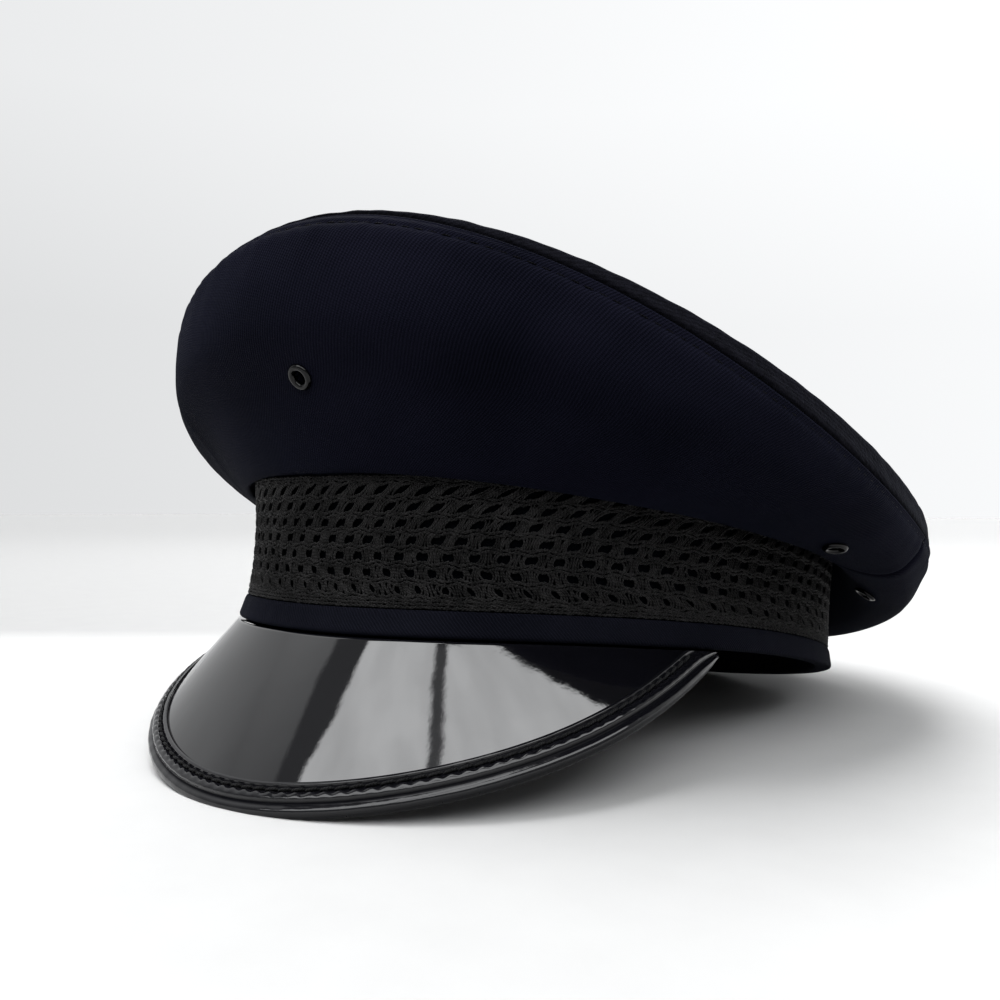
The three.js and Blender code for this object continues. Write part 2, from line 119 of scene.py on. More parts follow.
def to_row(points):
    """The cap's points, tipped onto its rest, in metres."""
    points = np.asarray(points, float)
    x, y, z = points[..., 0], points[..., 1], points[..., 2]
    tipped = [x + SHIFT[0], y * TIP_COS + z * TIP_SIN + SHIFT[1], -y * TIP_SIN + z * TIP_COS + SHIFT[2]]
    return np.stack(tipped, -1) / METRE


def unit(vectors):
    return vectors / np.maximum(np.linalg.norm(vectors, axis=-1, keepdims=True), 1e-12)


def bump(distance, width):
    return np.exp(-((distance / width) ** 2))


def ring_noise(angle, waves, seed):
    """Smooth noise that runs round the head, the same at 0 and a full turn."""
    dice = np.random.default_rng(seed)
    total = np.zeros_like(angle)
    for wave in waves:
        total = total + np.sin(wave * angle + dice.uniform(0, TAU)) * dice.uniform(0.5, 1.0)
    return total / len(waves) ** 0.5


def ripple(shape, angle):
    return ring_noise(angle, shape.waves, shape.seed) * shape.stands


def faded(shape, distance):
    return bump(distance - shape.middle, shape.wide)


# Meshes


def chaikin(loop, rounds):
    """Cuts the corners of a closed loop, which doubles its points in each round."""
    loop = np.asarray(loop, float)
    for _ in range(rounds):
        following = np.roll(loop, -1, axis=0)
        near, far = 0.75 * loop + 0.25 * following, 0.25 * loop + 0.75 * following
        loop = np.stack([near, far], 1).reshape(-1, loop.shape[1])
    return loop


def curve_points(before, start, end, after, t):
    """A centripetal curve's points from start to end, at shares t of that span."""
    pairs = ((before, start), (start, end), (end, after))
    d0, d1, d2 = (np.maximum(np.sum((b - a) ** 2, -1, keepdims=True) ** 0.25, 1e-4) for a, b in pairs)
    m1 = ((start - before) / d0 - (end - before) / (d0 + d1) + (end - start) / d1) * d1
    m2 = ((end - start) / d1 - (after - start) / (d1 + d2) + (after - end) / d2) * d1
    return start + m1 * t + (3 * (end - start) - 2 * m1 - m2) * t**2 + (2 * (start - end) + m1 + m2) * t**3


def rounded(anchors, steps):
    """A centripetal curve with its own count of points to each span, and on to the last anchor."""
    anchors = np.asarray(anchors, float)
    padded = np.concatenate([2 * anchors[:1] - anchors[1:2], anchors, 2 * anchors[-1:] - anchors[-2:-1]])
    spans = [curve_points(*padded[i : i + 4], np.arange(n)[:, None] / n) for i, n in enumerate(steps)]
    return np.concatenate([*spans, anchors[-1:]])


def catmull(anchors, steps):
    return rounded(anchors, [steps] * (len(anchors) - 1))


def arc_lengths(grid, axis):
    steps = np.linalg.norm(np.diff(grid, axis=axis), axis=-1)
    start = np.zeros_like(np.take(steps, [0], axis=axis))
    return np.concatenate([start, np.cumsum(steps, axis=axis)], axis=axis)


def grid_faces(rows, cols, wrap_rows):
    """Corners of a grid's faces, for columns that close on themselves."""
    i = np.arange(rows if wrap_rows else rows - 1)[:, None]
    near, far = i * cols, ((i + 1) % rows) * cols
    left = np.arange(cols)[None]
    right = (left + 1) % cols
    return np.stack([near + left, far + left, far + right, near + right], -1).reshape(-1, 4)


def volume_sign(points, faces):
    points = points - points.mean(0)
    a, b, c, d = (points[faces[:, k]] for k in range(4))
    return np.sum(a * np.cross(b, c)) + np.sum(a * np.cross(c, d))


def new_object(name, data):
    obj = bpy.data.objects.new(name, data)
    bpy.context.scene.collection.objects.link(obj)
    return obj


def make_mesh(name, points, faces, material, uv=None, caps=(), flip=False, smooth=True):
    """An object from row-frame points. uv holds a pair for each corner of faces, in face order."""
    if flip:
        faces = faces[:, ::-1]
        uv = uv.reshape(-1, 4, 2)[:, ::-1].reshape(-1, 2)
        caps = [cap[::-1] for cap in caps]
    mesh = bpy.data.meshes.new(name)
    mesh.from_pydata(points.tolist(), [], faces.tolist() + [list(c) for c in caps])
    if uv is not None:
        layer = mesh.uv_layers.new(name="UVMap")
        full = np.zeros((len(mesh.loops), 2), np.float32)
        full[: len(uv)] = uv
        layer.data.foreach_set("uv", full.ravel())
    mesh.polygons.foreach_set("use_smooth", [smooth] * len(mesh.polygons))
    mesh.materials.append(material)
    mesh.update()
    return new_object(name, mesh)


def grid_uv(u, v):
    """A pair for each corner of each face, from the two places of each point of a grid."""
    pairs = np.stack([u, v], -1)
    return np.stack([pairs[:-1, :-1], pairs[1:, :-1], pairs[1:, 1:], pairs[:-1, 1:]], 2).reshape(-1, 2)


def wrapped(grid, wrap_rows):
    if wrap_rows:
        grid = np.concatenate([grid, grid[:1]])
    return np.concatenate([grid, grid[:, :1]], 1)


def mean_lengths(grid):
    """Distances along a grid's rows and columns, each the mean over the other, in metres."""
    along, around = arc_lengths(grid, 0).mean(1), arc_lengths(grid, 1).mean(0)
    return np.meshgrid(along / METRE, around / METRE, indexing="ij")


def shell(name, sections, material, ring, replaces, uv=None):
    """A closed body from a grid of section loops, in mm: rows round the cap, columns round each section."""
    rows, cols = sections.shape[:2]
    faces = grid_faces(rows, cols, ring)
    points = to_row(sections.reshape(-1, 3))
    flip = volume_sign(points, faces) < 0
    caps = () if ring else (range(cols), range((rows - 1) * cols, rows * cols)[::-1])
    if uv is None:
        uv = grid_uv(*mean_lengths(wrapped(sections, ring)))
    return finish_piece(make_mesh(name, points, faces, material, uv, caps, flip), replaces)


def finish_piece(obj, replaces):
    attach(obj, "root")
    if replaces:
        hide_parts(*replaces)
    return obj


def tubes(paths, radius, sides, closed, up):
    """Points, faces and corner pairs of tubes along paths of shape (count, stations, 3), in mm."""
    paths = np.asarray(paths, float)
    count, stations = paths.shape[:2]
    tangent = unit(np.roll(paths, -1, 1) - np.roll(paths, 1, 1) if closed else np.gradient(paths, axis=1))
    up = np.broadcast_to(up, paths.shape)
    side = unit(np.cross(tangent, up))
    up = np.cross(side, tangent)
    turn = np.arange(sides) * TAU / sides
    radius = np.broadcast_to(radius, (count, stations))[..., None, None]
    ring = side[:, :, None] * np.cos(turn)[:, None] + up[:, :, None] * np.sin(turn)[:, None]
    points = paths[:, :, None] + ring * radius
    starts = np.arange(count) * stations * sides
    faces = (grid_faces(stations, sides, closed) + starts[:, None, None]).reshape(-1, 4)
    uv = grid_uv(*mean_lengths(wrapped(points[0], closed)))
    return points.reshape(-1, 3), faces, np.tile(uv, (count, 1))


def join_tubes(name, parts, material, replaces):
    points, faces, uvs = zip(*parts)
    starts = np.cumsum([0] + [len(part) for part in points])
    faces = np.concatenate([part + start for part, start in zip(faces, starts)])
    points, uvs = to_row(np.concatenate(points)), np.concatenate(uvs)
    flip = volume_sign(points, faces) < 0
    return finish_piece(make_mesh(name, points, faces, material, uvs, flip=flip), replaces)


# Node materials


class Tree:
    """Short ways to put nodes into a material or a world."""

    def __init__(self, owner):
        owner.use_nodes = True
        self.owner = owner
        self.nodes, self.links = owner.node_tree.nodes, owner.node_tree.links

    def put(self, socket, value):
        if isinstance(value, bpy.types.NodeSocket):
            self.links.new(value, socket)
        else:
            socket.default_value = value

    def node(self, kind, inputs=None, **settings):
        node = self.nodes.new("ShaderNode" + kind)
        for key, value in settings.items():
            setattr(node, key, value)
        for key, value in (inputs or {}).items():
            self.put(node.inputs[key], value)
        return node

    def math(self, operation, *values):
        node = self.node("Math", operation=operation)
        for socket, value in zip(node.inputs, values):
            self.put(socket, value)
        return node.outputs[0]

    def add(self, first, *others):
        for other in others:
            first = self.math("ADD", first, other)
        return first

    def times(self, first, *others):
        for other in others:
            first = self.math("MULTIPLY", first, other)
        return first

    def less(self, first, second):
        return self.math("SUBTRACT", first, second)

    def linear(self, value, slope, start):
        return self.math("MULTIPLY_ADD", value, slope, start)

    def mixed(self, low, high, share):
        """low where share is 0, high where it is 1."""
        return self.linear(self.less(high, low), share, low)

    def within(self, *edges):
        """1 past every edge and 0 before any, where an edge is a value, its last 0 and its first 1."""
        return self.times(*(self.remap(value, nothing, full, 0, 1) for value, nothing, full in edges))

    def dot(self, vector, way):
        return self.node("VectorMath", {0: vector, 1: (*way, 0)}, operation="DOT_PRODUCT").outputs["Value"]

    def uv(self):
        return self.node("SeparateXYZ", {0: self.node("TexCoord").outputs["UV"]}).outputs[:2]

    def place(self):
        return self.node("TexCoord").outputs["Object"]

    def noise(self, scale, detail=2.0, vector=None, roughness=0.5):
        inputs = {"Scale": scale, "Detail": detail, "Roughness": roughness, "Vector": vector or self.place()}
        return self.node("TexNoise", inputs).outputs["Fac"]

    def ramp(self, factor, *stops):
        node = self.node("ValToRGB", {0: factor})
        for element, (position, colour) in zip(node.color_ramp.elements, stops):
            element.position, element.color = position, (*colour, 1)
        return node.outputs[0]

    def remap(self, factor, low, high, to_low, to_high):
        inputs = {"Value": factor, "From Min": low, "From Max": high, "To Min": to_low, "To Max": to_high}
        return self.node("MapRange", inputs).outputs[0]

    def bump(self, height, distance, strength=1.0):
        return self.node("Bump", {"Height": height, "Distance": distance, "Strength": strength}).outputs[0]

    def set(self, **values):
        """Sets the shader's inputs and gives back the material."""
        shader = next(node for node in self.nodes if node.type == "BSDF_PRINCIPLED")
        for key, value in values.items():
            self.put(shader.inputs[key.replace("_", " ")], value)
        return self.owner


def new_material(name):
    return Tree(bpy.data.materials.new(name))


def waves(tree, u, v, degrees, spacing, wobble):
    """A wave across lines that run at an angle up from the u axis, from -1 to 1."""
    turn = math.radians(degrees)
    across = tree.less(tree.times(u, math.sin(turn)), tree.times(v, math.cos(turn)))
    return tree.math("SINE", tree.add(tree.times(across, TAU / spacing), wobble))


WEFT = Sizes(turn=78, spacing=0.62, share=0.45)


def twill(name, dark, light, degrees, spacing, sheen):
    """Slanted wales with a finer weft across them, in a colour that changes from patch to patch."""
    tree = new_material(name)
    u, v = tree.uv()
    wobble = tree.times(tree.noise(700, 3), 3.0)
    wale = waves(tree, u, v, degrees, spacing, wobble)
    weft = waves(tree, u, v, degrees - WEFT.turn, spacing * WEFT.spacing, wobble)
    fibre = tree.noise(3200, 3)
    height = tree.add(wale, tree.times(weft, WEFT.share), tree.times(fibre, 1.2))
    patches = tree.noise(28, 3)
    shade = tree.add(tree.times(height, 0.2), tree.times(patches, 0.9))
    return tree.set(
        Base_Color=tree.ramp(shade, (0.15, dark), (0.95, light)),
        Roughness=tree.remap(fibre, 0.3, 0.7, 0.75, 0.95), Sheen_Weight=sheen, Sheen_Roughness=0.35,
        Sheen_Tint=(0.45, 0.55, 1, 1), Specular_IOR_Level=0.03, Specular_Tint=(0.4, 0.6, 1, 1),
        Normal=tree.bump(height, 0.00009, 0.8),
    )


def fuzzy_cloth(name, dark, light, degrees, spacing, sheen):
    """Clumps of nap that nearly hide the wales under them."""
    tree = new_material(name)
    u, v = tree.uv()
    wale = waves(tree, u, v, degrees, spacing, tree.times(tree.noise(500, 3), 5.0))
    clumps = tree.noise(620, 4, roughness=0.7)
    fibre = tree.noise(2600, 3)
    height = tree.add(tree.times(wale, 0.15), tree.times(clumps, 2.4), tree.times(fibre, 0.9))
    return tree.set(
        Base_Color=tree.ramp(tree.times(height, 0.45), (0.35, dark), (0.95, light)),
        Roughness=0.95, Sheen_Weight=sheen, Sheen_Roughness=0.4, Sheen_Tint=(0.6, 0.66, 0.85, 1),
        Specular_IOR_Level=0.04, Normal=tree.bump(height, 0.00022, 0.9),
    )


def yarn(name, dark, light, spacing, shine):
    """Plies that twist round the thread, with mottled fibres."""
    tree = new_material(name)
    u, v = tree.uv()
    ply = waves(tree, u, v, 52, spacing, tree.times(tree.noise(900, 2), 2.0))
    fibre = tree.noise(3500, 2)
    height = tree.add(ply, fibre)
    mottle = tree.add(tree.noise(430, 3), tree.times(tree.noise(90, 3), 0.5))
    shade = tree.add(tree.times(height, 0.14), tree.times(mottle, 0.9))
    return tree.set(
        Base_Color=tree.ramp(shade, (0.58, dark), (0.95, light)),
        Roughness=tree.remap(fibre, 0.3, 0.7, 0.4, 0.6), Sheen_Weight=0.01, Sheen_Roughness=0.4,
        Specular_IOR_Level=shine, Normal=tree.bump(height, 0.0001, 1.0),
    )


def lacquer(name, colour, least_rough, most_rough, orange_peel, shine):
    """A gloss with smudges and the faint waves of a coat that has dried."""
    tree = new_material(name)
    smudge = tree.noise(22, 4)
    height = tree.add(tree.noise(55, 2), tree.times(tree.noise(900, 3), 0.04))
    worn = tuple(c * 1.4 + 0.0005 for c in colour)
    return tree.set(
        Base_Color=tree.ramp(smudge, (0.3, colour), (0.8, worn)),
        Roughness=tree.remap(smudge, 0.35, 0.75, least_rough, most_rough),
        IOR=1.5, Specular_IOR_Level=shine, Normal=tree.bump(height, orange_peel, 0.5),
    )


# Places across the binding strip from its inner edge: where each begins, is full, starts to end and ends
STITCHED_GROOVE = (0.0014, 0.0019, 0.0029, 0.0034)
OUTER_GROOVE = (0.0054, 0.0060, 0.0064, 0.0070)
ROLLED_EDGE = (0.0080, 0.0092)


def strip_leather(name, colour):
    """The folded strip: glossy on its bead and ledge, satin on the rolled edge, dull in its grooves."""
    tree = new_material(name)
    u, v = tree.uv()
    grain = tree.noise(1500, 4)
    creases = waves(tree, u, v, 88, 0.0021, tree.times(tree.noise(260, 3), 7.0))
    rolled = tree.within((v, *ROLLED_EDGE))
    grooves = [tree.within((v, a, b), (v, d, c)) for a, b, c, d in (STITCHED_GROOVE, OUTER_GROOVE)]
    rough = tree.add(tree.remap(grain, 0.3, 0.7, 0.06, 0.12), tree.times(rolled, 0.16))
    height = tree.add(tree.times(grain, 0.5), tree.times(creases, 0.12))
    dull = tree.math("MAXIMUM", tree.math("MAXIMUM", *grooves), tree.times(rolled, 0.8))
    return tree.set(
        Base_Color=tree.ramp(grain, (0.2, colour), (0.9, tuple(c * 2 for c in colour))), Roughness=rough,
        IOR=1.5, Specular_IOR_Level=tree.remap(dull, 0, 1, 0.45, 0.02),
        Normal=tree.bump(height, 0.00004, 0.6),
    )


# Cloths: dark and light colour, the wales' slant in degrees, their spacing and the sheen
SIDE_CLOTH = twill("side_cloth", (0.0006, 0.0006, 0.0013), (0.0046, 0.0044, 0.0088), 63, 0.0007, 0.011)
HEM_CLOTH = twill("hem_cloth", (0.0008, 0.0008, 0.0013), (0.0056, 0.0056, 0.0088), 48, 0.00065, 0.008)
TOP_CLOTH = fuzzy_cloth("top_cloth", (0.0004, 0.0004, 0.0007), (0.0042, 0.0042, 0.0066), 63, 0.0011, 0.026)
# The band's wall shows only through the braid's holes: partly its own black, and partly painted shade, made
# near black so the holes read as deep shade
WALL_CLOTH = twill("wall_cloth", (0.0003, 0.0003, 0.0004), (0.0008, 0.0008, 0.001), 45, 0.0009, 0.0)
# Yarns: dark and light colour, the plies' spacing and the shine
BRAID_YARN = yarn("braid_yarn", (0.0004, 0.0004, 0.0005), (0.0135, 0.013, 0.0132), 0.0006, 0.12)
THREAD = yarn("black_thread", (0.001, 0.001, 0.0012), (0.006, 0.006, 0.0066), 0.0005, 0.14)
SEAM_THREAD = yarn("navy_thread", (0.0003, 0.0003, 0.0006), (0.0022, 0.0022, 0.0036), 0.0005, 0.04)
# Lacquers: colour, least and most roughness, height of the waves and the shine
PATENT = lacquer("patent", (0.0012, 0.0012, 0.0018), 0.02, 0.045, 0.00025, 1.0)
ENAMEL = lacquer("enamel", (0.0006, 0.0006, 0.0008), 0.05, 0.08, 0.00005, 0.22)
BINDING_STRIP = strip_leather("binding_strip", (0.0018, 0.0018, 0.0024))


# Crown

# Spans of the side cloth's curve, between the tuck, the seam, the overhang and the crown's lines
SPANS_UP = len(CROWN_LINES) + 2


def crown_anchors(angle):
    tuck = band_point(angle, BAND.height, TUCK)
    seam = band_point(angle, BAND.height + SEAM.rise, SEAM.outset)
    sag = BAND.height - blended(OVERHANG_SAG, angle)
    overhang = band_point(angle, sag, blended(OVERHANG_OUTSET, angle))
    return np.stack([tuck, seam, overhang, *(line_point(line, angle) for line in CROWN_LINES)], -2)


def line_point(line, angle):
    radius = oval_radius(angle, CROWN.squareness)
    forward = radius * np.cos(angle)
    x = line.half_width * radius * np.sin(angle) * (1 - line.taper * forward)
    y = line.centre - line.half_length * forward
    z = line.height + line.rise * np.cos(angle) + line.lift * np.cos(2 * angle)
    return np.stack([x, y, z], -1)


def crown_face(angle, ways):
    """The side cloth's outer face, for every angle (rows) and way up from the tuck to the ridge (columns)."""
    anchors = crown_anchors(angle)
    before, after = 2 * anchors[:, :1] - anchors[:, 1:2], 2 * anchors[:, -1:] - anchors[:, -2:-1]
    padded = np.concatenate([before, anchors, after], 1)
    place = np.broadcast_to(np.clip(ways * SPANS_UP, 0, SPANS_UP), (len(angle), np.shape(ways)[-1]))
    index = np.minimum(place.astype(int), SPANS_UP - 1)
    row = np.arange(len(angle))[:, None]
    return curve_points(*(padded[row, index + k] for k in range(4)), (place - index)[..., None])


def face_normals(grid):
    return unit(np.cross(*np.gradient(grid, axis=(0, 1))))


def ridge_inward(angle):
    near, far = (crown_face(angle + nudge, np.array([1.0]))[:, 0] for nudge in (-NUDGE, NUDGE))
    last = crown_face(angle, np.array([0.999, 1.0]))
    normal = np.cross(far - near, last[:, 1] - last[:, 0])
    normal[:, 2] = 0
    return -unit(normal)


def rim_depth(angle):
    return RIM_DEPTH.front + RIM_DEPTH.side * np.abs(np.sin(angle)) ** RIM_DEPTH.power


def way_below_ridge(angle, below):
    under, ridge = (line_point(line, angle) for line in CROWN_LINES[-2:])
    return 1 - below / (SPANS_UP * np.linalg.norm(under - ridge, axis=-1))


def face_at(angle, way, inward):
    """Points under the crown's face by a depth inward, one for each angle and its way up."""
    way = np.asarray(way)[:, None]
    point = crown_face(angle, way)[:, 0]
    round_head = crown_face(angle + NUDGE, way)[:, 0] - crown_face(angle - NUDGE, way)[:, 0]
    up_cloth = point - crown_face(angle, way - 0.002)[:, 0]
    return point - unit(np.cross(round_head, up_cloth)) * inward


TOPSTITCH = Sizes(below=6.4, lower_at_sides=3.6, count=236, length=2.5, radius=0.17, lift=0.12, sunk=0.36)


def stitch_ways(angle):
    """The way up to the topstitch, a few millimetres under the folded edge."""
    fine = np.linspace(0.6, 1, 81)
    lengths = arc_lengths(crown_face(angle, fine), 1)
    below = TOPSTITCH.below + TOPSTITCH.lower_at_sides * np.sin(angle) ** 2
    wanted = lengths[:, -1] - below
    return np.array([np.interp(length, row, fine) for length, row in zip(wanted, lengths)])


# Ways up the side cloth's two faces, close together where the cloth is seen and folded
STRETCHES = [(0, 1, 6), (1, 2, 14), (2, 4, 34), (4, 6, 40)]
SHARE_UP = np.concatenate([np.linspace(start / 6, end / 6, n, end == 6) for start, end, n in STRETCHES])
INNER_WAYS = np.linspace(0, 1, 22)

# Relief of the side cloth: how far it stands off, and its zone's middle and half width under the topstitch
# or, for the seam's two, away from the seam
FURROW = Sizes(stands=-0.42, middle=0, wide=0.8)
UPPER_ROLL = Sizes(stands=0.3, middle=-2.6, wide=1.7)
LOWER_ROLL = Sizes(stands=0.3, middle=3.4, wide=2.6)
PUCKERS = Sizes(stands=0.13, middle=1.5, wide=4.0, waves=(96, 117, 131, 153, 174), seed=3)
RIPPLES = Sizes(stands=0.1, middle=6, wide=9, waves=(48, 61, 77), seed=5, lean=0.004)
SAG = Sizes(stands=0.3, height=60, waves=(5, 7, 11), seed=8)
CREASE = Sizes(stands=0.55, middle=34, wide=15, angle=-0.74, lean=0.0035, lean_from=30, half_angle=0.035)
SEAM_FURROW = Sizes(stands=-0.5, middle=0, wide=0.7)
SEAM_ROLL = Sizes(stands=0.12, middle=2.6, wide=1.8)
EDGE_FADE, FOOT_FADE = 2.5, 12


def crown_relief(angle, below, edge, along_seam):
    """How far the side cloth stands off its smooth shape, by the distances under the topstitch, under the
    folded edge and from the nearer side seam."""
    a = angle[:, None]
    plain = sum(shape.stands * faded(shape, below) for shape in (FURROW, UPPER_ROLL, LOWER_ROLL))
    puckers = ripple(PUCKERS, a) * faded(PUCKERS, below)
    ripples = ripple(RIPPLES, a + RIPPLES.lean * below) * faded(RIPPLES, below)
    sag = ripple(SAG, a) * np.sin(np.clip(below / SAG.height, 0, 1) * math.pi)
    crease_angle = CREASE.angle - CREASE.lean * (below - CREASE.lean_from)
    crease = CREASE.stands * bump(a - crease_angle, CREASE.half_angle) * faded(CREASE, below)
    seam = sum(shape.stands * faded(shape, along_seam) for shape in (SEAM_FURROW, SEAM_ROLL))
    return (plain + puckers + ripples + sag + crease + seam) * np.clip(edge / EDGE_FADE, 0, 1)


# Eyelets: node, degrees round the head and way up the cloth
EYELETS = [
    ("badge_eyelet", 0.0, 0.53),
    ("vent_eyelet_left_front", 82.5, 0.47), ("vent_eyelet_left_back", 110.0, 0.45),
    ("vent_eyelet_right_front", -82.5, 0.47), ("vent_eyelet_right_back", -110.0, 0.45),
]
HOLE_RADIUS, HOLE_REACH = 2.25 / METRE, 5.0 / METRE
EYELET_PROFILE = [
    (1.65, -2.7), (1.65, 0.3), (1.7, 0.65), (1.9, 1.0), (2.25, 1.25), (2.65, 1.3), (3.05, 1.15), (3.35, 0.85),
    (3.5, 0.5), (3.3, 0.4), (2.3, 0.45), (2.3, -2.1), (3.3, -2.1), (3.3, -2.7),
]
EYELET_STEPS = 48


def eyelet_frame(degrees, way):
    """An eyelet's middle on the cloth's face, the way out of the cloth and the way round the head."""
    angle = math.radians(degrees) + np.array([-NUDGE, 0, NUDGE])
    face = crown_face(angle, np.array([way - 0.004, way, way + 0.004]))
    right = unit(face[2, 1] - face[0, 1])
    return face[1, 1], unit(np.cross(right, face[1, 2] - face[1, 0])), right


def edited(obj, change):
    work = bmesh.new()
    work.from_mesh(obj.data)
    change(work)
    work.to_mesh(obj.data)
    work.free()
    return obj


def pierce(work):
    """Cuts the eyelets' holes through both faces of the cloth and closes their walls."""
    work.faces.ensure_lookup_table()
    middles = np.array([face.calc_center_median() for face in work.faces])
    gone = []
    for _, degrees, way in EYELETS:
        place, up, _ = eyelet_frame(degrees, way)
        place, tip = to_row(place), to_row(place + up)
        offset, axis = middles - place, unit(tip - place)
        along = offset @ axis
        beside = np.linalg.norm(offset - along[:, None] * axis, axis=1)
        inside = (beside < HOLE_RADIUS) & (np.abs(along) < HOLE_REACH)
        gone.append([work.faces[k] for k in np.flatnonzero(inside)])
    for faces in filter(None, gone):
        bmesh.ops.delete(work, geom=faces, context="FACES")
        bmesh.ops.bridge_loops(work, edges=[edge for edge in work.edges if edge.is_boundary])


def eyelet(node, degrees, way):
    place, up, right = eyelet_frame(degrees, way)
    ahead = np.cross(up, right)
    loop = chaikin(EYELET_PROFILE, 1)
    turn = np.arange(EYELET_STEPS) * TAU / EYELET_STEPS
    ring = right * np.cos(turn)[:, None, None] + ahead * np.sin(turn)[:, None, None]
    sections = place + ring * loop[None, :, :1] + up * loop[None, :, 1:]
    return shell(node + "_ring", sections, ENAMEL, True, [node])


# How far under the rim's edge the side cloth's two faces end, and the column of points that the head's
# roundness is measured along
FOLD_START, FOLD_END = 1.4, 2.2
GIRTH_COLUMN = 40


def crown_cloth(name, start, end, steps, node):
    angle = np.linspace(start, end, steps)
    depth = rim_depth(angle)
    top_way = way_below_ridge(angle, depth + FOLD_START)
    outer = crown_face(angle, SHARE_UP[None] * top_way[:, None])
    normals = face_normals(outer)
    heights = arc_lengths(outer, 1)
    rows = zip(stitch_ways(angle), top_way, heights)
    stitch_height = np.array([np.interp(way, SHARE_UP * top, row) for way, top, row in rows])
    below = stitch_height[:, None] - heights
    round_head = arc_lengths(outer[:, GIRTH_COLUMN : GIRTH_COLUMN + 1], 0)
    along_seam = np.minimum(round_head, round_head[-1] - round_head)
    relief = crown_relief(angle, below, heights[:, -1:] - heights, along_seam)
    outer = outer + normals * (relief * np.clip(heights / FOOT_FADE, 0, 1))[..., None]
    fold = [face_at(angle, way_below_ridge(angle, depth - rise), into) for into, rise in FOLD]
    inner_face = crown_face(angle, INNER_WAYS[None] * way_below_ridge(angle, depth + FOLD_END)[:, None])
    inner = inner_face - face_normals(inner_face) * CROWN.cloth
    anchors = np.stack([outer[:, -1], *fold, inner[:, -1]], 1)
    fold = np.stack([catmull(loop, 3) for loop in anchors])[:, 1:-1]
    sections = np.concatenate([outer, fold, inner[:, ::-1]], 1)
    return edited(shell(name, sections, SIDE_CLOTH, False, [node]), pierce)


HALF_SEAM = math.radians(0.1)
front_end, back_start = CROWN.seam_angle - HALF_SEAM, CROWN.seam_angle + HALF_SEAM
front_cloth = crown_cloth("crown_front_cloth", -front_end, front_end, 330, "crown_front")
back_cloth = crown_cloth("crown_back_cloth", back_start, TAU - back_start, 290, "crown_back")


# Top panel

TOP_STEPS = 420
TOP_SHARES = [0.9, 0.78, 0.6, 0.4, 0.2, 0]
RIM_SPANS = [3, 4, 5, 6, 6, 5, 14, 14, 16, 16, 14]
RIM_GAP = 1.9
RIM_WAVES = Sizes(stands=0.12, middle=6, wide=7, waves=(37, 52, 71, 96), seed=17, lean=0.01)
SWELLS = Sizes(stands=0.3, across=17, bend=1.3, bend_length=29, along=21, rim=14, fade=25)


def top_point(angle, share, lower):
    ridge = CROWN_LINES[-1]
    border = line_point(ridge, angle)
    slope = ridge.rise * share * np.cos(angle) + ridge.lift * share**2 * np.cos(2 * angle)
    z = ridge.height + slope + TOP.dome * (1 - share**2) + TOP.crest_up - lower
    y = ridge.centre + (border[:, 1] - ridge.centre) * share
    return np.stack([border[:, 0] * share, y, z], -1)


def over_ridge(angle, ridge, inward, up):
    point = ridge + ridge_inward(angle) * np.reshape(inward, (-1, 1))
    point[:, 2] = ridge[:, 2] + up
    return point


def top_relief(angle, outer):
    """Waves round the rim and shallow swells over the panel."""
    from_edge = arc_lengths(outer, 1)
    x, y = outer[..., 0], outer[..., 1]
    bend = SWELLS.bend * np.sin(y / SWELLS.bend_length)
    panel = np.clip((from_edge - SWELLS.rim) / SWELLS.fade, 0, 1)
    swells = np.sin(x / SWELLS.across + bend) * np.cos(y / SWELLS.along) * SWELLS.stands * panel
    rim_waves = ripple(RIM_WAVES, angle[:, None] + RIM_WAVES.lean * from_edge)
    return swells + rim_waves * faded(RIM_WAVES, from_edge)


def crown_top():
    angle = np.arange(TOP_STEPS) * TAU / TOP_STEPS
    depth = rim_depth(angle)
    full = np.minimum(depth / FULL_RIM, 1)
    rises = [rise * full if rise > 0 else rise for _, rise in RIM]
    rim = [face_at(angle, way_below_ridge(angle, depth - rise), into) for (into, _), rise in zip(RIM, rises)]
    waist = face_at(angle, way_below_ridge(angle, (depth - full) / 2), 0.0)
    ridge = face_at(angle, np.ones(TOP_STEPS), 0.0)
    crest = over_ridge(angle, ridge, TOP.crest_in, TOP.crest_up)
    upper = [top_point(angle, share, 0.0) for share in TOP_SHARES]
    outer = np.stack([rounded(row, RIM_SPANS) for row in np.stack([*rim, waist, ridge, crest, *upper], 1)])
    outer = outer + face_normals(outer) * top_relief(angle, outer)[..., None]
    slack = RIM_GAP * FULL_RIM / np.maximum(depth, FULL_RIM)
    under = over_ridge(angle, ridge, TOP.cloth + slack, TOP.crest_up - TOP.cloth)
    tail = face_at(angle, way_below_ridge(angle, depth + FOLD_END), RIM_GAP + TOP.cloth)
    lower = [top_point(angle, share, TOP.cloth) for share in TOP_SHARES[::-1]]
    sections = np.concatenate([outer, np.stack([*lower, under, tail], 1)], 1)
    uv = cloth_uv(sections, outer.shape[1])
    cloth = shell("crown_top_cloth", sections, TOP_CLOTH, True, ["crown_top"], uv)
    return edited(cloth, merge_close)


def cloth_uv(sections, outer_count):
    """Places on the flat cloth: along each spoke by the distance over its surface from the middle."""
    out = arc_lengths(sections[:, :outer_count][:, ::-1], 1)[:, ::-1]
    into = arc_lengths(sections[:, outer_count:], 1)
    reach = np.concatenate([out, into], 1)
    spoke = unit(sections[:, :1, :2] - np.array([0.0, CROWN_LINES[-1].centre]))
    place = wrapped(spoke * reach[..., None] / METRE, True)
    return grid_uv(place[..., 0], place[..., 1])


def merge_close(work):
    bmesh.ops.remove_doubles(work, verts=work.verts, dist=1e-6)
    bmesh.ops.dissolve_degenerate(work, edges=work.edges, dist=1e-7)


panel = crown_top()


# Band: wall, hem and braid

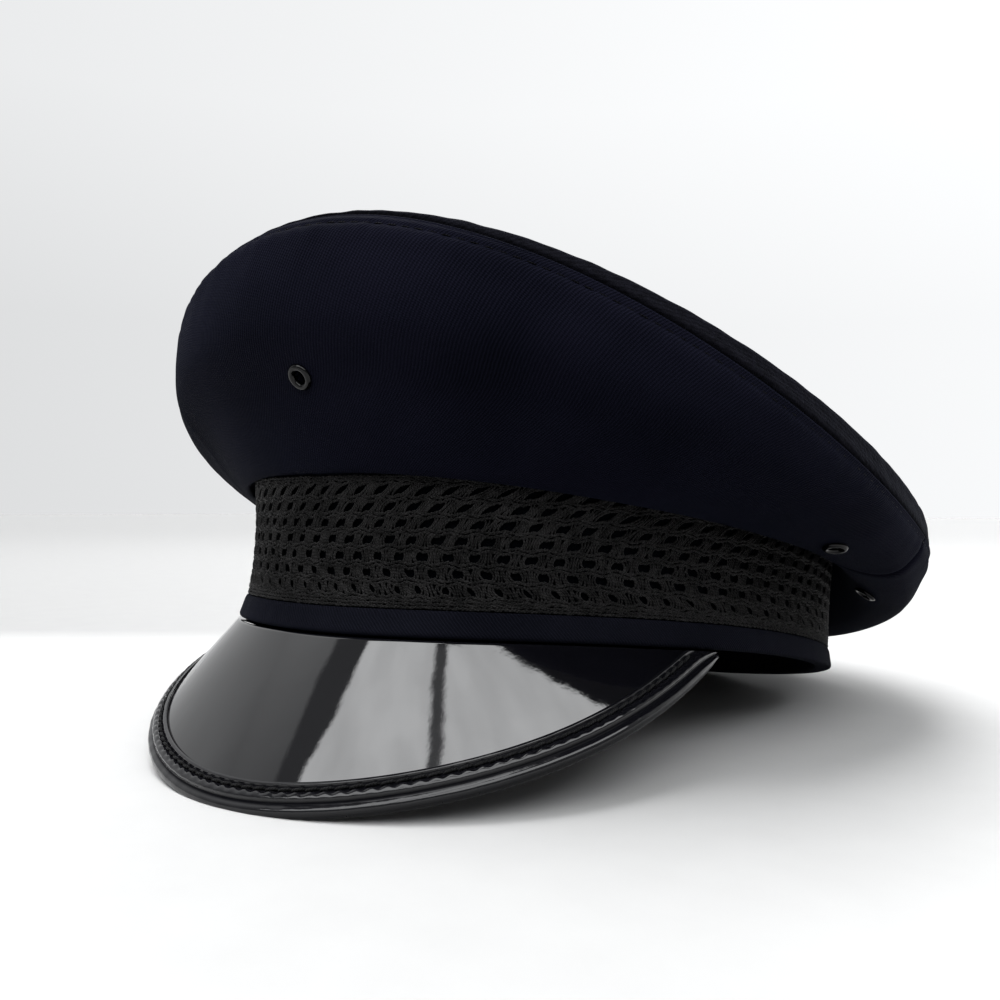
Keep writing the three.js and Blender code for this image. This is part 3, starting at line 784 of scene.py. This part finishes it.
FLOOR_GAP = 0.02
HEM_RIPPLES = [Sizes(stands=0.1, waves=(9, 14, 23), seed=21), Sizes(stands=0.05, waves=(60, 83), seed=22)]
HEM_FACE = -1.0


def kept_up(points):
    """Lifts what would dip into the floor."""
    height = -points[..., 1] * TIP_SIN + points[..., 2] * TIP_COS + SHIFT[2]
    lift = np.maximum(FLOOR_GAP - height, 0)
    return points + lift[..., None] * np.array([0, -TIP_SIN, TIP_COS])


def band_shell(name, section, steps, material, node, ripples=()):
    """A ring round the band, with ripples on its outer face."""
    angle = (np.arange(steps) * TAU / steps)[:, None]
    outset, height = section.T[:, None]
    outset = outset + np.where(outset > HEM_FACE, sum(ripple(shape, angle) for shape in ripples), 0)
    return shell(name, kept_up(band_point(angle, height, outset)), material, True, [node])


levels = [WALL.foot, 12, 24, WALL.top]
outside = [(-WALL.inset, height) for height in levels]
inside = [(-WALL.inset - WALL.thickness, height) for height in levels[::-1]]
wall_loop = chaikin(outside + inside, 1)
band_shell("band_wall_cloth", wall_loop, 300, WALL_CLOTH, "band_wall")
hem_loop = chaikin(HEM_SECTION, 2)
hem_cloth = band_shell("band_hem_cloth", hem_loop, 420, HEM_CLOTH, "band_hem", HEM_RIPPLES)

# The braid: rows of holes from the top one down, with their widths, between pairs of twisted strands
BRAID = Sizes(
    top_row=34.9, pitch=3.95, rows=7, holes=82, pair=0.45, hole_pitch=7.25, cord_sides=4, stray=0.045,
    narrowest=0.8, widest=1.15,
)
HOLE_WIDTHS = [2.6, 2.7, 2.8, 2.9, 2.7, 2.3, 1.0]
HOLE_STEP = TAU / BRAID.holes
CORD = Sizes(
    stations=9, strand=0.25, ply=0.19, bow=0.34, stray=0.1, rise=1.15, depth=-0.52, out=0.9, dip=0.14,
    lump=0.05, highest=-0.2, uneven=0.16, twist_stray=1.3,
)
BUNDLE = Sizes(
    threads=7, last_threads=8, thread=0.27, thinnest=0.75, thickest=1.15, stations=5, height=1.7, lean=2.375,
    lean_step=-0.57, crossing=0.32, pinch=0.85, flare=0.55,
    depth=-0.66, bow=0.3, stray=0.08, highest=-0.22,
)


def band_up(angle):
    """Outward from the band's face."""
    return unit(band_point(angle, 20.0, 1.0) - band_point(angle, 20.0, 0.0))


def hole_places(row):
    """Angles of a row's holes, a little uneven, and their widths in millimetres."""
    dice = np.random.default_rng(300 + row)
    count = BRAID.holes
    centre = (np.arange(count) + 0.5 * (row % 2)) * HOLE_STEP
    centre = centre + dice.normal(0, BRAID.stray, count) * HOLE_STEP
    width = HOLE_WIDTHS[row] * dice.uniform(BRAID.narrowest, BRAID.widest, count)
    return centre, width


def braid_cords(name, levels, replaces):
    """Pairs of strands that twist round each other and bow away from the holes beside them. A level is a
    height, a ply, the row of holes beside it, and 1, -1 or 0 for above it, below it or straight."""
    count = BRAID.holes * CORD.stations
    angle = np.arange(count) * TAU / count
    up = band_up(angle)
    parts = []
    for height, ply, row, side in levels:
        seed = int(height * 10)
        swell = np.cos((angle * BRAID.holes / TAU - 0.5 * (row % 2)) * TAU)
        stray = ring_noise(angle, (31, 57, 141, 203), 40 + seed) * CORD.stray
        twist = angle * BRAID.holes * 2 + ring_noise(angle, (23, 61, 97), 60 + seed) * CORD.twist_stray
        for strand in range(2):
            turn = twist + math.pi * strand
            rise = height + side * (CORD.bow * swell) + stray + ply * CORD.rise * np.cos(turn)
            out = CORD.depth + ply * CORD.out * np.sin(turn) - CORD.dip * swell * abs(side)
            out = out + CORD.lump * ring_noise(angle, (88, 260), 70 + seed + strand)
            path = band_point(angle, rise, np.minimum(out, CORD.highest))
            uneven = CORD.uneven * ring_noise(angle, (119, 231, 333), 90 + seed + strand)
            thick = CORD.strand * (1 + uneven)
            parts.append(tubes(path[None], thick[None], BRAID.cord_sides, True, up[None]))
    return join_tubes(name, parts, BRAID_YARN, replaces)


def cord_levels(first, last):
    levels = []
    for k in range(first, last):
        middle = BRAID.top_row + BRAID.pitch * (0.5 - k)
        levels += [(middle + BRAID.pair, CORD.ply, k - 1, 1), (middle - BRAID.pair, CORD.ply, k, -1)]
    return levels


def braid_bridges():
    """Bundles of threads between neighbouring holes of each row, leaning right at the top and left below."""
    parts = []
    share_up = np.linspace(-1, 1, BUNDLE.stations)[None]
    flare = BUNDLE.pinch + BUNDLE.flare * share_up**2
    each = (BRAID.holes, 1)
    for row in range(BRAID.rows):
        level = BRAID.top_row - BRAID.pitch * row
        lean = BUNDLE.lean + BUNDLE.lean_step * row
        centre, width = hole_places(row)
        following = np.roll(centre, -1)
        following[-1] += TAU
        left = centre + width / 2 / BRAID.hole_pitch * HOLE_STEP
        right = following - np.roll(width, -1) / 2 / BRAID.hole_pitch * HOLE_STEP
        middle, room = (left + right)[:, None] / 2, (right - left)[:, None]
        threads = BUNDLE.last_threads if row == BRAID.rows - 1 else BUNDLE.threads
        crossing = rng.normal(0, BUNDLE.crossing, (BRAID.holes, threads))
        for thread in range(threads):
            place = middle + room * ((thread + 0.5) / threads - 0.5) * flare
            shift = (lean + crossing[:, thread][:, None]) * share_up
            turn = place + shift / BRAID.hole_pitch * HOLE_STEP
            tall = level + share_up * BUNDLE.height + rng.normal(0, BUNDLE.stray, each)
            bow = BUNDLE.depth + BUNDLE.bow * (1 - share_up**2) + rng.normal(0, BUNDLE.stray, each)
            path = band_point(turn, tall, np.minimum(bow, BUNDLE.highest))
            thick = BUNDLE.thread * rng.uniform(BUNDLE.thinnest, BUNDLE.thickest, each)
            parts.append(tubes(path, thick, BRAID.cord_sides, False, band_up(turn)))
    return join_tubes("band_braid_bridges", parts, BRAID_YARN, ())


upper_levels = [(38.0, 0.17, 0, 0), (37.35, 0.17, 0, 0), *cord_levels(0, 4)]
lower_levels = [*cord_levels(4, BRAID.rows + 1), (8.75, 0.2, 7, 0), (7.95, 0.2, 8, 0), (7.15, 0.2, 9, 0)]
braid_cords("band_braid_cords", upper_levels, ["band_braid"])
braid_cords("band_braid_lower_cords", lower_levels, ())
braid_bridges()


# Visor


def visor_edge(across):
    corner = band_point(VISOR.half_angle, 0.0)
    space = np.maximum(1 - across**2, 0)
    depth = space ** (2 * VISOR.roundness)
    x = np.sign(across) * corner[0] * np.sqrt(1 - depth) * (1 - VISOR.pinch * depth)
    y = corner[1] - (corner[1] + VISOR.reach) * space
    z = corner[2] - (corner[2] + VISOR.drop) * space ** VISOR.drop_curve
    return np.stack([x, y, z], -1)


def visor_leaves(across):
    return band_point(VISOR.half_angle * across, VISOR_LEAVES[1], VISOR_LEAVES[0])


def edge_frame(across):
    nudge = 0.0005
    along = unit(visor_edge(across + nudge) - visor_edge(across - nudge))
    held = np.clip(across, -VISOR.end, VISOR.end)
    up = unit(np.cross(visor_edge(held) - visor_leaves(held), along))
    return up, unit(np.cross(up, along))


def visor_sections(steps, down):
    across = VISOR.end * np.linspace(-1, 1, steps)
    outward = visor_edge(across) - visor_leaves(across)
    last = 1 - LAP / np.linalg.norm(outward, axis=-1, keepdims=True)
    up, _ = edge_frame(across)
    root = [band_point(VISOR.half_angle * across, height, out) for out, height in VISOR_ROOT]
    shares = np.linspace(0, 1, down)[None, :, None] * last[:, None]
    skin = visor_leaves(across)[:, None] + outward[:, None] * shares
    skin = skin + up[:, None] * (4 * VISOR.dome * shares * (1 - shares))
    rooted = np.stack([catmull(np.stack([*(r[i] for r in root), skin[i, 0]]), 4)[:-1] for i in range(steps)])
    return np.concatenate([rooted, skin], 1)


plate = visor_sections(220, 56)
under = plate + face_normals(plate) * VISOR.thickness
shell("visor_patent", np.concatenate([plate, under[:, ::-1]], 1), PATENT, False, ["visor"])

BINDING_TOP = [
    (7.7, 0.35), (7.75, 0.85), (7.1, 1.2), (6.6, 0.9), (5.6, 0.85), (4.9, 1.65), (3.7, 1.8), (2.9, 1.0),
    (1.4, 1.2), (0.35, 0.4), (0.1, -1.3), (1.2, -2.5), (3.0, -2.72), (5.0, -2.8),
]
BINDING_BACK = [(5.0, -1.95), (3.6, -1.95), (2.3, -1.95), (2.3, -0.8), (2.3, 0.35), (5.0, 0.35)]
BINDING = Sizes(end=0.97, spacing=0.6, thin_from=0.9, thin_over=0.075, thinned=0.7, slip=(1.2, -0.9))
BEAD = Sizes(middle=4.75, wide=0.8, pull=0.28, above=0.6)
LUMPS = Sizes(stands=0.06, waves=(9, 17, 29, 41), seed=33, above=0.5, inside=7.2, round=40)
STITCH = Sizes(pitch=3.5, end=0.9, inward=5.95, up=1.0, slant=0.12, length=3.3, radius=0.36, lift=0.3)
HEM_ROOM = Sizes(under=0.35, near=30)


def edge_stations(end, spacing):
    fine = np.linspace(-end, end, 4001)
    length = arc_lengths(visor_edge(fine)[None], 1)[0]
    count = int(round(length[-1] / spacing))
    wanted = np.linspace(0, length[-1], count + 1)
    return np.interp(wanted, length, fine), wanted


def under_hem(points):
    """Keeps points under the hem's lower edge where they lie below the band."""
    angle = np.arctan2(points[..., 0] / BAND.half_width, -points[..., 1] / BAND.half_length)
    limit = -HEM_ROOM.under - BAND.dip * np.cos(2 * angle)
    near = np.linalg.norm((points - band_point(angle, 0.0))[..., :2], axis=-1) < HEM_ROOM.near
    height = np.where(near, np.minimum(points[..., 2], limit), points[..., 2])
    return np.concatenate([points[..., :2], height[..., None]], -1)


def end_taper(across):
    """Thins the strip where its ends slip under the hem."""
    share = np.clip((np.abs(across) - BINDING.thin_from) / BINDING.thin_over, 0, 1)
    return 1 - BINDING.thinned * share**2


def visor_binding():
    across, along = edge_stations(BINDING.end, BINDING.spacing)
    up, inward = edge_frame(across)
    into, rise = np.concatenate([catmull(BINDING_TOP, 4), BINDING_BACK]).T[:, None]
    pull = np.cos(TAU * along / STITCH.pitch)[:, None] * faded(BEAD, into) * (rise > BEAD.above) * BEAD.pull
    lump = ripple(LUMPS, along[:, None] / LUMPS.round) * (rise > LUMPS.above) * (into < LUMPS.inside)
    taper = end_taper(across)[:, None]
    into = (into + pull) * taper + BINDING.slip[0] * (1 - taper)
    rise = (rise + lump) * taper + BINDING.slip[1] * (1 - taper)
    points = visor_edge(across)[:, None] + inward[:, None] * into[..., None] + up[:, None] * rise[..., None]
    sections = kept_up(under_hem(points))
    return shell("visor_binding_strip", sections, BINDING_STRIP, False, ["visor_binding"])


visor_binding()


def stitch_tubes(centre, tangent, up, size):
    """Short threads that dive into the cloth at both ends."""
    t = np.array([-1.0, -0.82, -0.4, 0.0, 0.4, 0.82, 1.0])
    thick = size.radius * np.array([0.3, 0.8, 1, 1, 1, 0.8, 0.3])
    rise = size.lift * (1 - t**4) - size.radius * 0.9 * np.abs(t) ** 8
    reach = t[None, :, None] * size.length / 2
    paths = centre[:, None] + tangent[:, None] * reach + up[:, None] * rise[None, :, None]
    return tubes(paths, thick[None], 6, False, up[:, None])


def binding_stitches():
    across, _ = edge_stations(STITCH.end, STITCH.pitch)
    up, inward = edge_frame(across)
    centre = visor_edge(across) + inward * STITCH.inward + up * STITCH.up
    slant = unit(unit(np.gradient(centre, axis=0)) + inward * STITCH.slant)
    return join_tubes("visor_stitches", [stitch_tubes(centre, slant, up, STITCH)], THREAD, ())


binding_stitches()


def crown_stitches():
    fine, count = np.linspace(0, TAU, 3000), TOPSTITCH.count
    line = crown_face(fine, stitch_ways(fine)[:, None])[:, 0]
    length = arc_lengths(line[None], 1)[0]
    angle = np.interp((np.arange(count) + 0.5) / count * length[-1], length, fine)
    way = stitch_ways(angle)[:, None]
    near = crown_face(angle, way)[:, 0]
    tangent = unit(crown_face(angle + 0.004, stitch_ways(angle + 0.004)[:, None])[:, 0] - near)
    up = unit(np.cross(tangent, near - crown_face(angle, way - 0.01)[:, 0]))
    part = stitch_tubes(near - up * TOPSTITCH.sunk, tangent, up, TOPSTITCH)
    return join_tubes("crown_topstitch", [part], SEAM_THREAD, ())


crown_stitches()


for row in EYELETS:
    eyelet(*row)


# Floor, light and camera

# The level way that the camera faces, and the way to its right
AHEAD, ASIDE = (-0.562, 0.827), (0.827, 0.562)
# The floor's tones near the camera and far off, where it changes with the turn from AHEAD. The darker far
# tone is painted shade standing in for a dimmer backdrop, and its change with the turn is painted light,
# lighter towards the camera's right
FLOOR = Sizes(near=0.36, far=0.29, turn=0.085, foot=(0.016, 0.325), change=(0.132, 0.188), side=8, sunk=2e-5)

floor = new_material("pale_floor")
place = floor.place()
behind, beside = floor.dot(place, AHEAD), floor.dot(place, ASIDE)
aside, away = floor.add(beside, FLOOR.foot[0]), floor.add(behind, FLOOR.foot[1])
length = floor.math("SQRT", floor.linear(aside, aside, floor.times(away, away)))
turned = floor.math("DIVIDE", aside, floor.math("MAXIMUM", length, 0.01))
# Painted light and shade: the far tone is darker than the near one and grows lighter with the turn to the
# right
far = floor.linear(turned, FLOOR.turn, FLOOR.far)
speck = floor.remap(floor.noise(60, 4), 0.3, 0.7, 0.97, 1.0)
shade = floor.times(speck, floor.mixed(FLOOR.near, far, floor.within((behind, *FLOOR.change))))
tone = floor.node("CombineColor", {0: shade, 1: shade, 2: shade})
material = floor.set(Base_Color=tone.outputs[0], Roughness=0.6, Specular_IOR_Level=0.2)
corners = [(-1, -1, 0), (1, -1, 0), (1, 1, 0), (-1, 1, 0)]
points = np.array(corners) * FLOOR.side - (0, 0, FLOOR.sunk)
make_mesh("floor", points, np.array([[0, 1, 2, 3]]), material, smooth=False)

# What the visor mirrors, as brightness by direction: places are on a level ceiling one unit up, high is the
# upward share of the direction, and a pair is where a border begins and where it is full
CEILING = Sizes(lowest=0.02, ragged=3.5, ragged_by=0.12)
WINDOW = Sizes(
    tone=4.3, left=-0.105, left_slope=0.56, right=(1.6, 1.3), near=(-2.0, -1.7), far=0.13, far_slope=0.2,
    far_ragged=1.5, far_edge=(0.05, 0), left_edge=(-0.02, 0.02), high=(0.1, 0.2),
)
BAR = Sizes(tone=0.1, place=0.069, slope=-0.135, edge=(0.018, 0.045))
EAVES = Sizes(tone=0.03, far=-0.47, slope=1.18, edge=(0, 0.03), left=(0.08, 0.12), high=(0.35, 0.5))
CURTAIN = Sizes(tone=0.22, width=0.456, slope=0.25, left=(-0.03, 0.03), right=(0, -0.02), high=(0.3, 0.5))
GLOW = Sizes(most=0.5, left=(-0.65, 0), ahead=(0.3, 0), high=(0.2, 0.5))
BACKDROP = Sizes(tone=0.855, across=0.235, higher=0.09, high=(0.18, 0.38))
ROOM = Sizes(tone=0.3, edge=(-0.3, 0.25))


def sky(tree, direction):
    """Brightness of the studio round the cap by direction."""
    x, y, high = tree.node("SeparateXYZ", {0: direction}).outputs
    level = tree.math("MAXIMUM", high, CEILING.lowest)
    across, ahead = tree.math("DIVIDE", x, level), tree.math("DIVIDE", y, level)
    ragged = tree.times(tree.less(tree.noise(CEILING.ragged, 4, direction), 0.5), CEILING.ragged_by)
    past_left = tree.less(across, tree.add(tree.linear(ahead, WINDOW.left_slope, WINDOW.left), ragged))
    past_curtain = tree.add(past_left, tree.linear(ahead, CURTAIN.slope, CURTAIN.width))
    past_far = tree.less(tree.less(ahead, tree.times(across, WINDOW.far_slope)), WINDOW.far)
    past_far = tree.add(past_far, tree.times(ragged, WINDOW.far_ragged))
    past_eaves = tree.add(tree.less(ahead, tree.linear(across, EAVES.slope, EAVES.far)), ragged)
    past_bar = tree.math("ABSOLUTE", tree.less(across, tree.linear(ahead, BAR.slope, BAR.place)))
    window = tree.within(
        (past_left, *WINDOW.left_edge), (across, *WINDOW.right), (ahead, *WINDOW.near),
        (past_far, *WINDOW.far_edge), (high, *WINDOW.high),
    )
    eaves = tree.within((past_eaves, *EAVES.edge), (across, *EAVES.left), (high, *EAVES.high))
    curtain = tree.within((past_left, *CURTAIN.right), (high, *CURTAIN.high), (past_curtain, *CURTAIN.left))
    room = tree.linear(tree.dot(direction, ASIDE), BACKDROP.across, BACKDROP.tone)
    room = tree.add(room, tree.remap(high, *BACKDROP.high, 0, BACKDROP.higher))
    glow = tree.within((past_curtain, *GLOW.left), (ahead, *GLOW.ahead), (high, *GLOW.high))
    room = tree.add(room, tree.times(glow, GLOW.most))
    room = tree.mixed(ROOM.tone, room, tree.within((tree.dot(direction, AHEAD), *ROOM.edge)))
    room = tree.mixed(room, CURTAIN.tone, curtain)
    streaks = tree.remap(tree.noise(5, 3, direction), 0.3, 0.7, 0.85, 1.12)
    pane = tree.times(streaks, WINDOW.tone, tree.remap(past_bar, *BAR.edge, BAR.tone, 1.0))
    room = tree.mixed(room, pane, window)
    return tree.mixed(room, EAVES.tone, eaves)


KEY = Sizes(energy=4.6, angle=math.radians(44), towards=(0.26, 0.09, -0.96))
BACK = Sizes(place=(-0.5, 0.9, 1.3), aim=(0, 0, 0.05), size=(0.9, 0.7), power=12)


def light(name, kind, towards, place=(0, 0, 0)):
    obj = new_object(name, bpy.data.lights.new(name, kind))
    obj.location = place
    obj.rotation_euler = Vector(towards).to_track_quat("-Z", "Y").to_euler()
    return obj


world = bpy.context.scene.world = bpy.data.worlds.new("studio")
studio = Tree(world)
background = studio.nodes["Background"]
background.inputs[0].default_value = (0.98, 0.99, 1.0, 1)
studio.put(background.inputs[1], sky(studio, studio.node("TexCoord").outputs["Generated"]))
key = light("key", "SUN", KEY.towards)
key.data.energy, key.data.angle = KEY.energy, KEY.angle
key.visible_glossy = False
back = light("back", "AREA", Vector(BACK.aim) - Vector(BACK.place), BACK.place)
back.data.shape = "RECTANGLE"
back.data.size, back.data.size_y = BACK.size
back.data.energy = BACK.power

view = bpy.context.scene.view_settings
view.view_transform = "Standard"
view.look = "None"

CAMERA = Sizes(
    place=(0.169637, -0.278089, 0.065736), ahead=(-0.561937, 0.827144, 0.007918), roll=math.radians(0.17),
    lens=34.56, sensor=36, shift=(0.0026, 0.0008), clip=(0.01, 20),
)


lens = bpy.data.cameras.new("camera")
lens.lens, lens.sensor_width = CAMERA.lens, CAMERA.sensor
lens.shift_x, lens.shift_y = CAMERA.shift
lens.clip_start, lens.clip_end = CAMERA.clip
turn = Vector(CAMERA.ahead).to_track_quat("-Z", "Y").to_matrix() @ Matrix.Rotation(CAMERA.roll, 3, "Z")
camera = bpy.context.scene.camera = new_object("camera", lens)
camera.matrix_world = Matrix.Translation(CAMERA.place) @ turn.to_4x4()
